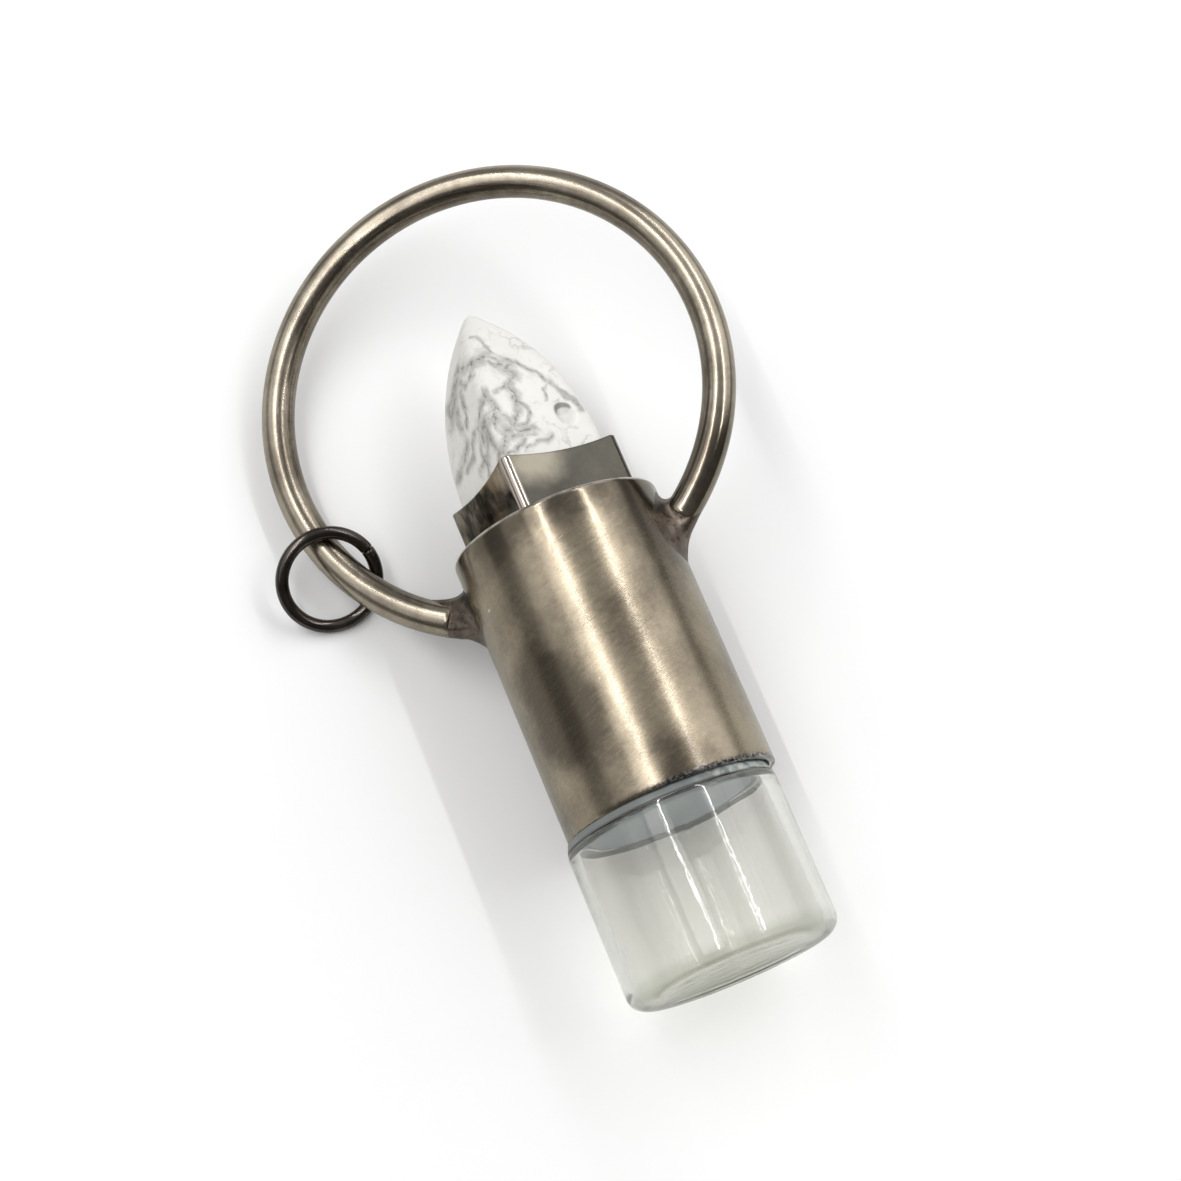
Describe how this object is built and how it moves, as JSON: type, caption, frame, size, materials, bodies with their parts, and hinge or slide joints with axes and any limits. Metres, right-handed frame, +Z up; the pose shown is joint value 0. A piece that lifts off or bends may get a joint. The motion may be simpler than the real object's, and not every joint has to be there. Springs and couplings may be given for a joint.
{
  "type": "bottle pendant",
  "caption": "Pendant lying on its side: a small glass bottle in a brushed metal cap that carries a square-set carved stone point, a large wire hoop and a loose jump ring.",
  "frame": {"origin": "on the surface the pendant lies on, under the middle of its bounding box", "axes": "+Z up from that surface, +Y along the bottle's axis from the base to the stone, +X to the right of it, away from the jump ring"},
  "size_m": [0.0376, 0.0648, 0.016],
  "materials": {
    "antiqued_metal": "brushed, antiqued grey-brown plating",
    "veined_stone": "polished, white with grey veins",
    "dark_metal": "polished gunmetal plating",
    "clear_glass": "clear",
    "grey_plug": "smooth"
  },
  "bodies": {
    "cap": {"cap": "antiqued_metal", "stone": "veined_stone", "jump_ring": "dark_metal", "stopper": "grey_plug"},
    "bottle": {"bottle": "clear_glass"}
  },
  "joints": [
    {"name": "bottle_pull", "type": "slide", "parent": "cap", "child": "bottle", "axis": [0, -1, 0], "range_m": [0, 0.014]}
  ]
}
